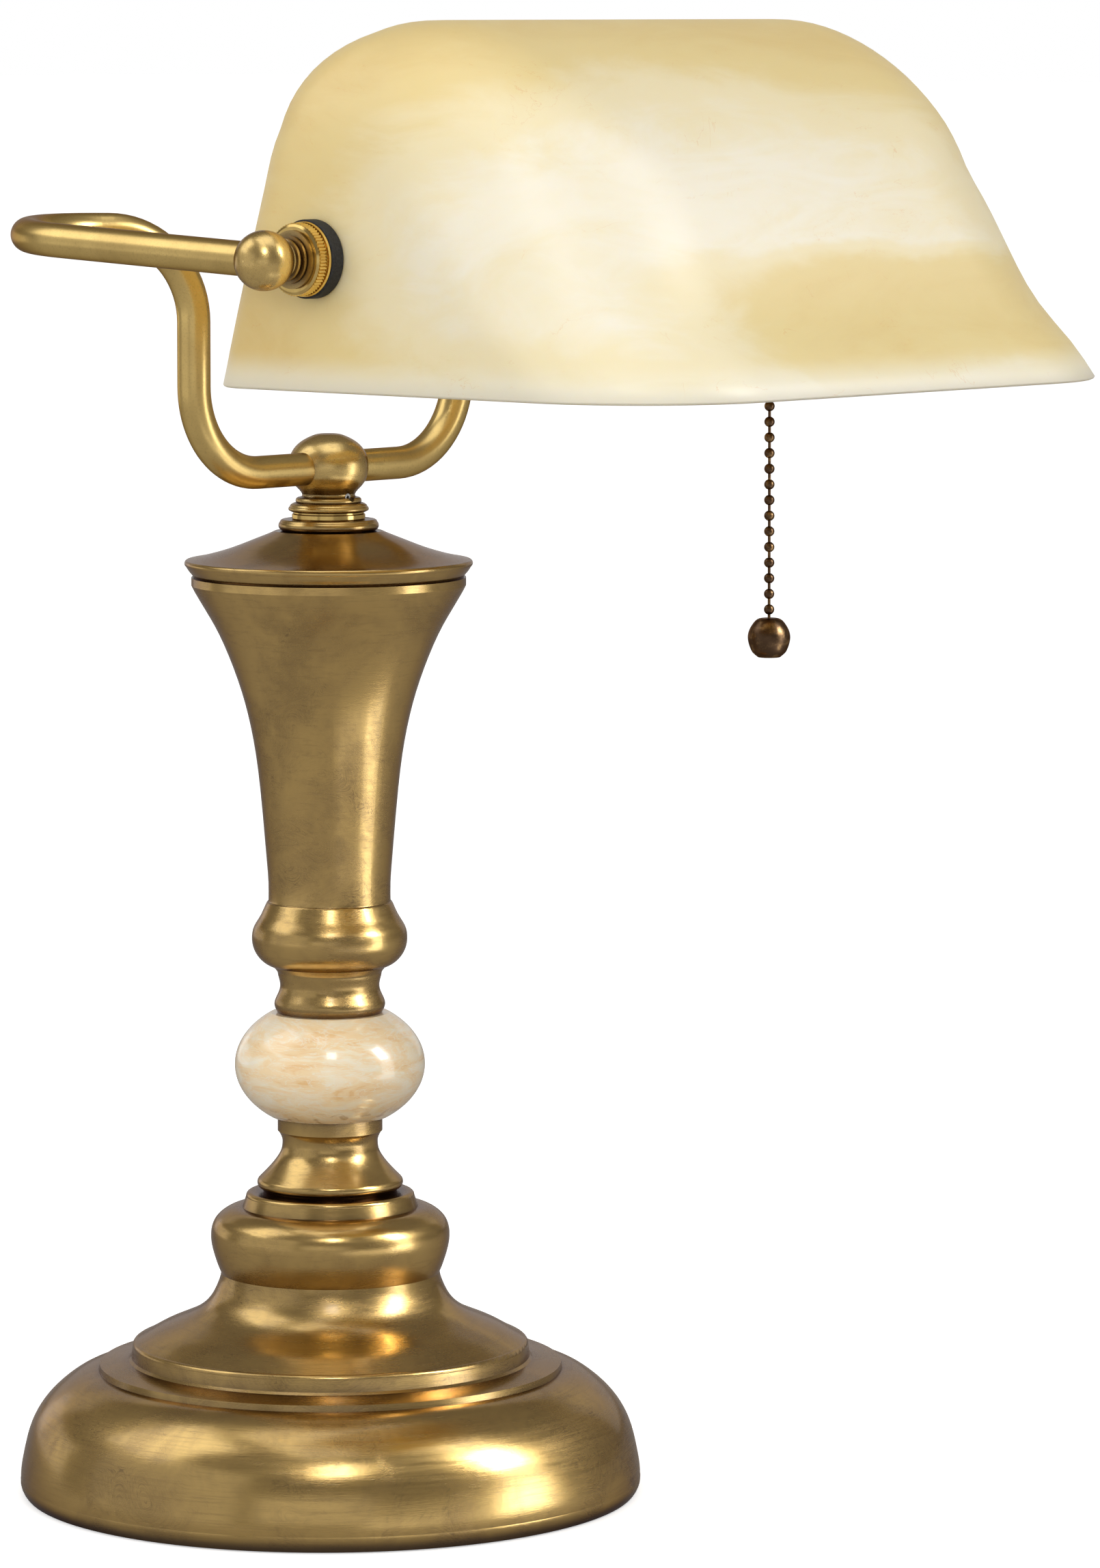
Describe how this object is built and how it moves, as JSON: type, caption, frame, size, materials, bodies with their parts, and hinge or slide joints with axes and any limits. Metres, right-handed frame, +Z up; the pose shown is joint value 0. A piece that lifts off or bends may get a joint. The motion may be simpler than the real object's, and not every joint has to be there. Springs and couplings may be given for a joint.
{
  "type": "banker desk lamp",
  "caption": "Desk lamp with a turned brass stem on a domed weighted base, a marble ball, a bent-tube yoke and a long tilting glass shade with a bead pull chain.",
  "frame": {"origin": "middle of the underside of the felt pad, on the stem's axis, on the table", "axes": "+Z up along the stem, -Y towards the front where the shade reaches, +X to the lamp's right, the pull chain's side when seen from the front"},
  "size_m": [0.2842, 0.3274, 0.4525],
  "materials": {
    "antique_brass": "brushed antique brass, lacquered",
    "polished_brass": "polished brass",
    "dark_bronze": "dark oxidised bronze with rubbed edges",
    "marble": "polished cream marble or resin stone",
    "cased_glass": "satin cased glass, cream to amber",
    "frosted_glass": "frosted",
    "black_rubber": "matte",
    "felt": "felt",
    "cast_iron": "rough casting",
    "steel": "zinc plated",
    "aluminium": "rolled lamp base",
    "black_plastic": "moulded",
    "liner_card": "insulating card liner",
    "wire_jacket": "clear gold lead jacket"
  },
  "bodies": {
    "root": {"base_shell": "antique_brass", "base_weight": "cast_iron", "base_felt": "felt", "cord_bushing": "black_plastic", "bottom_washer": "steel", "bottom_nut": "steel", "threaded_rod": "steel", "lower_neck": "antique_brass", "stone_ball": "marble", "upper_neck": "antique_brass", "vase": "antique_brass", "vase_cap": "antique_brass", "check_ring": "dark_bronze", "lock_collar": "polished_brass", "yoke_hub": "antique_brass", "hub_set_screw": "steel", "left_arm": "antique_brass", "right_arm": "antique_brass", "left_end_ball": "antique_brass", "right_end_ball": "antique_brass", "left_outer_pad": "black_rubber", "right_outer_pad": "black_rubber", "left_inner_pad": "black_rubber", "right_inner_pad": "black_rubber", "left_lock_nut": "polished_brass", "right_lock_nut": "polished_brass", "left_nipple": "steel", "right_nipple": "steel", "socket_cap": "antique_brass", "socket_shell": "antique_brass", "socket_liner": "liner_card", "switch_body": "black_plastic", "screw_shell": "polished_brass", "bulb_base": "aluminium", "bulb_glass": "frosted_glass", "chain_bell": "polished_brass", "lead_wire": "wire_jacket"},
    "shade": {"glass_shade": "cased_glass"},
    "left_nut": {"left_knurled_nut": "polished_brass"},
    "right_nut": {"right_knurled_nut": "polished_brass"},
    "chain_run": {"chain_top": "dark_bronze"},
    "chain_fore_aft": {"chain_link": "dark_bronze"},
    "chain_sideways": {"chain_lower": "dark_bronze", "pull_knob": "dark_bronze"}
  },
  "joints": [
    {"name": "shade_tilt", "type": "hinge", "parent": "root", "child": "shade", "pos_m": [0, -0.103, 0.3851], "axis": [1, 0, 0], "range_deg": [-30, 30]},
    {"name": "left_nut_turn", "type": "hinge", "parent": "root", "child": "left_nut", "pos_m": [-0.1195, -0.103, 0.3851], "axis": [1, 0, 0], "range_deg": [0, 90]},
    {"name": "right_nut_turn", "type": "hinge", "parent": "root", "child": "right_nut", "pos_m": [0.1195, -0.103, 0.3851], "axis": [-1, 0, 0], "range_deg": [0, 90]},
    {"name": "chain_pull", "type": "slide", "parent": "root", "child": "chain_run", "axis": [0, 0, -1], "range_m": [0, 0.008], "stiffness_N_per_m": 300},
    {"name": "chain_swing_fore_aft", "type": "hinge", "parent": "chain_run", "child": "chain_fore_aft", "pos_m": [0.0865, -0.103, 0.35641], "axis": [1, 0, 0], "range_deg": [-20, 20]},
    {"name": "chain_swing_sideways", "type": "hinge", "parent": "chain_fore_aft", "child": "chain_sideways", "pos_m": [0.0865, -0.103, 0.35163], "axis": [0, 1, 0], "range_deg": [-20, 20]}
  ]
}
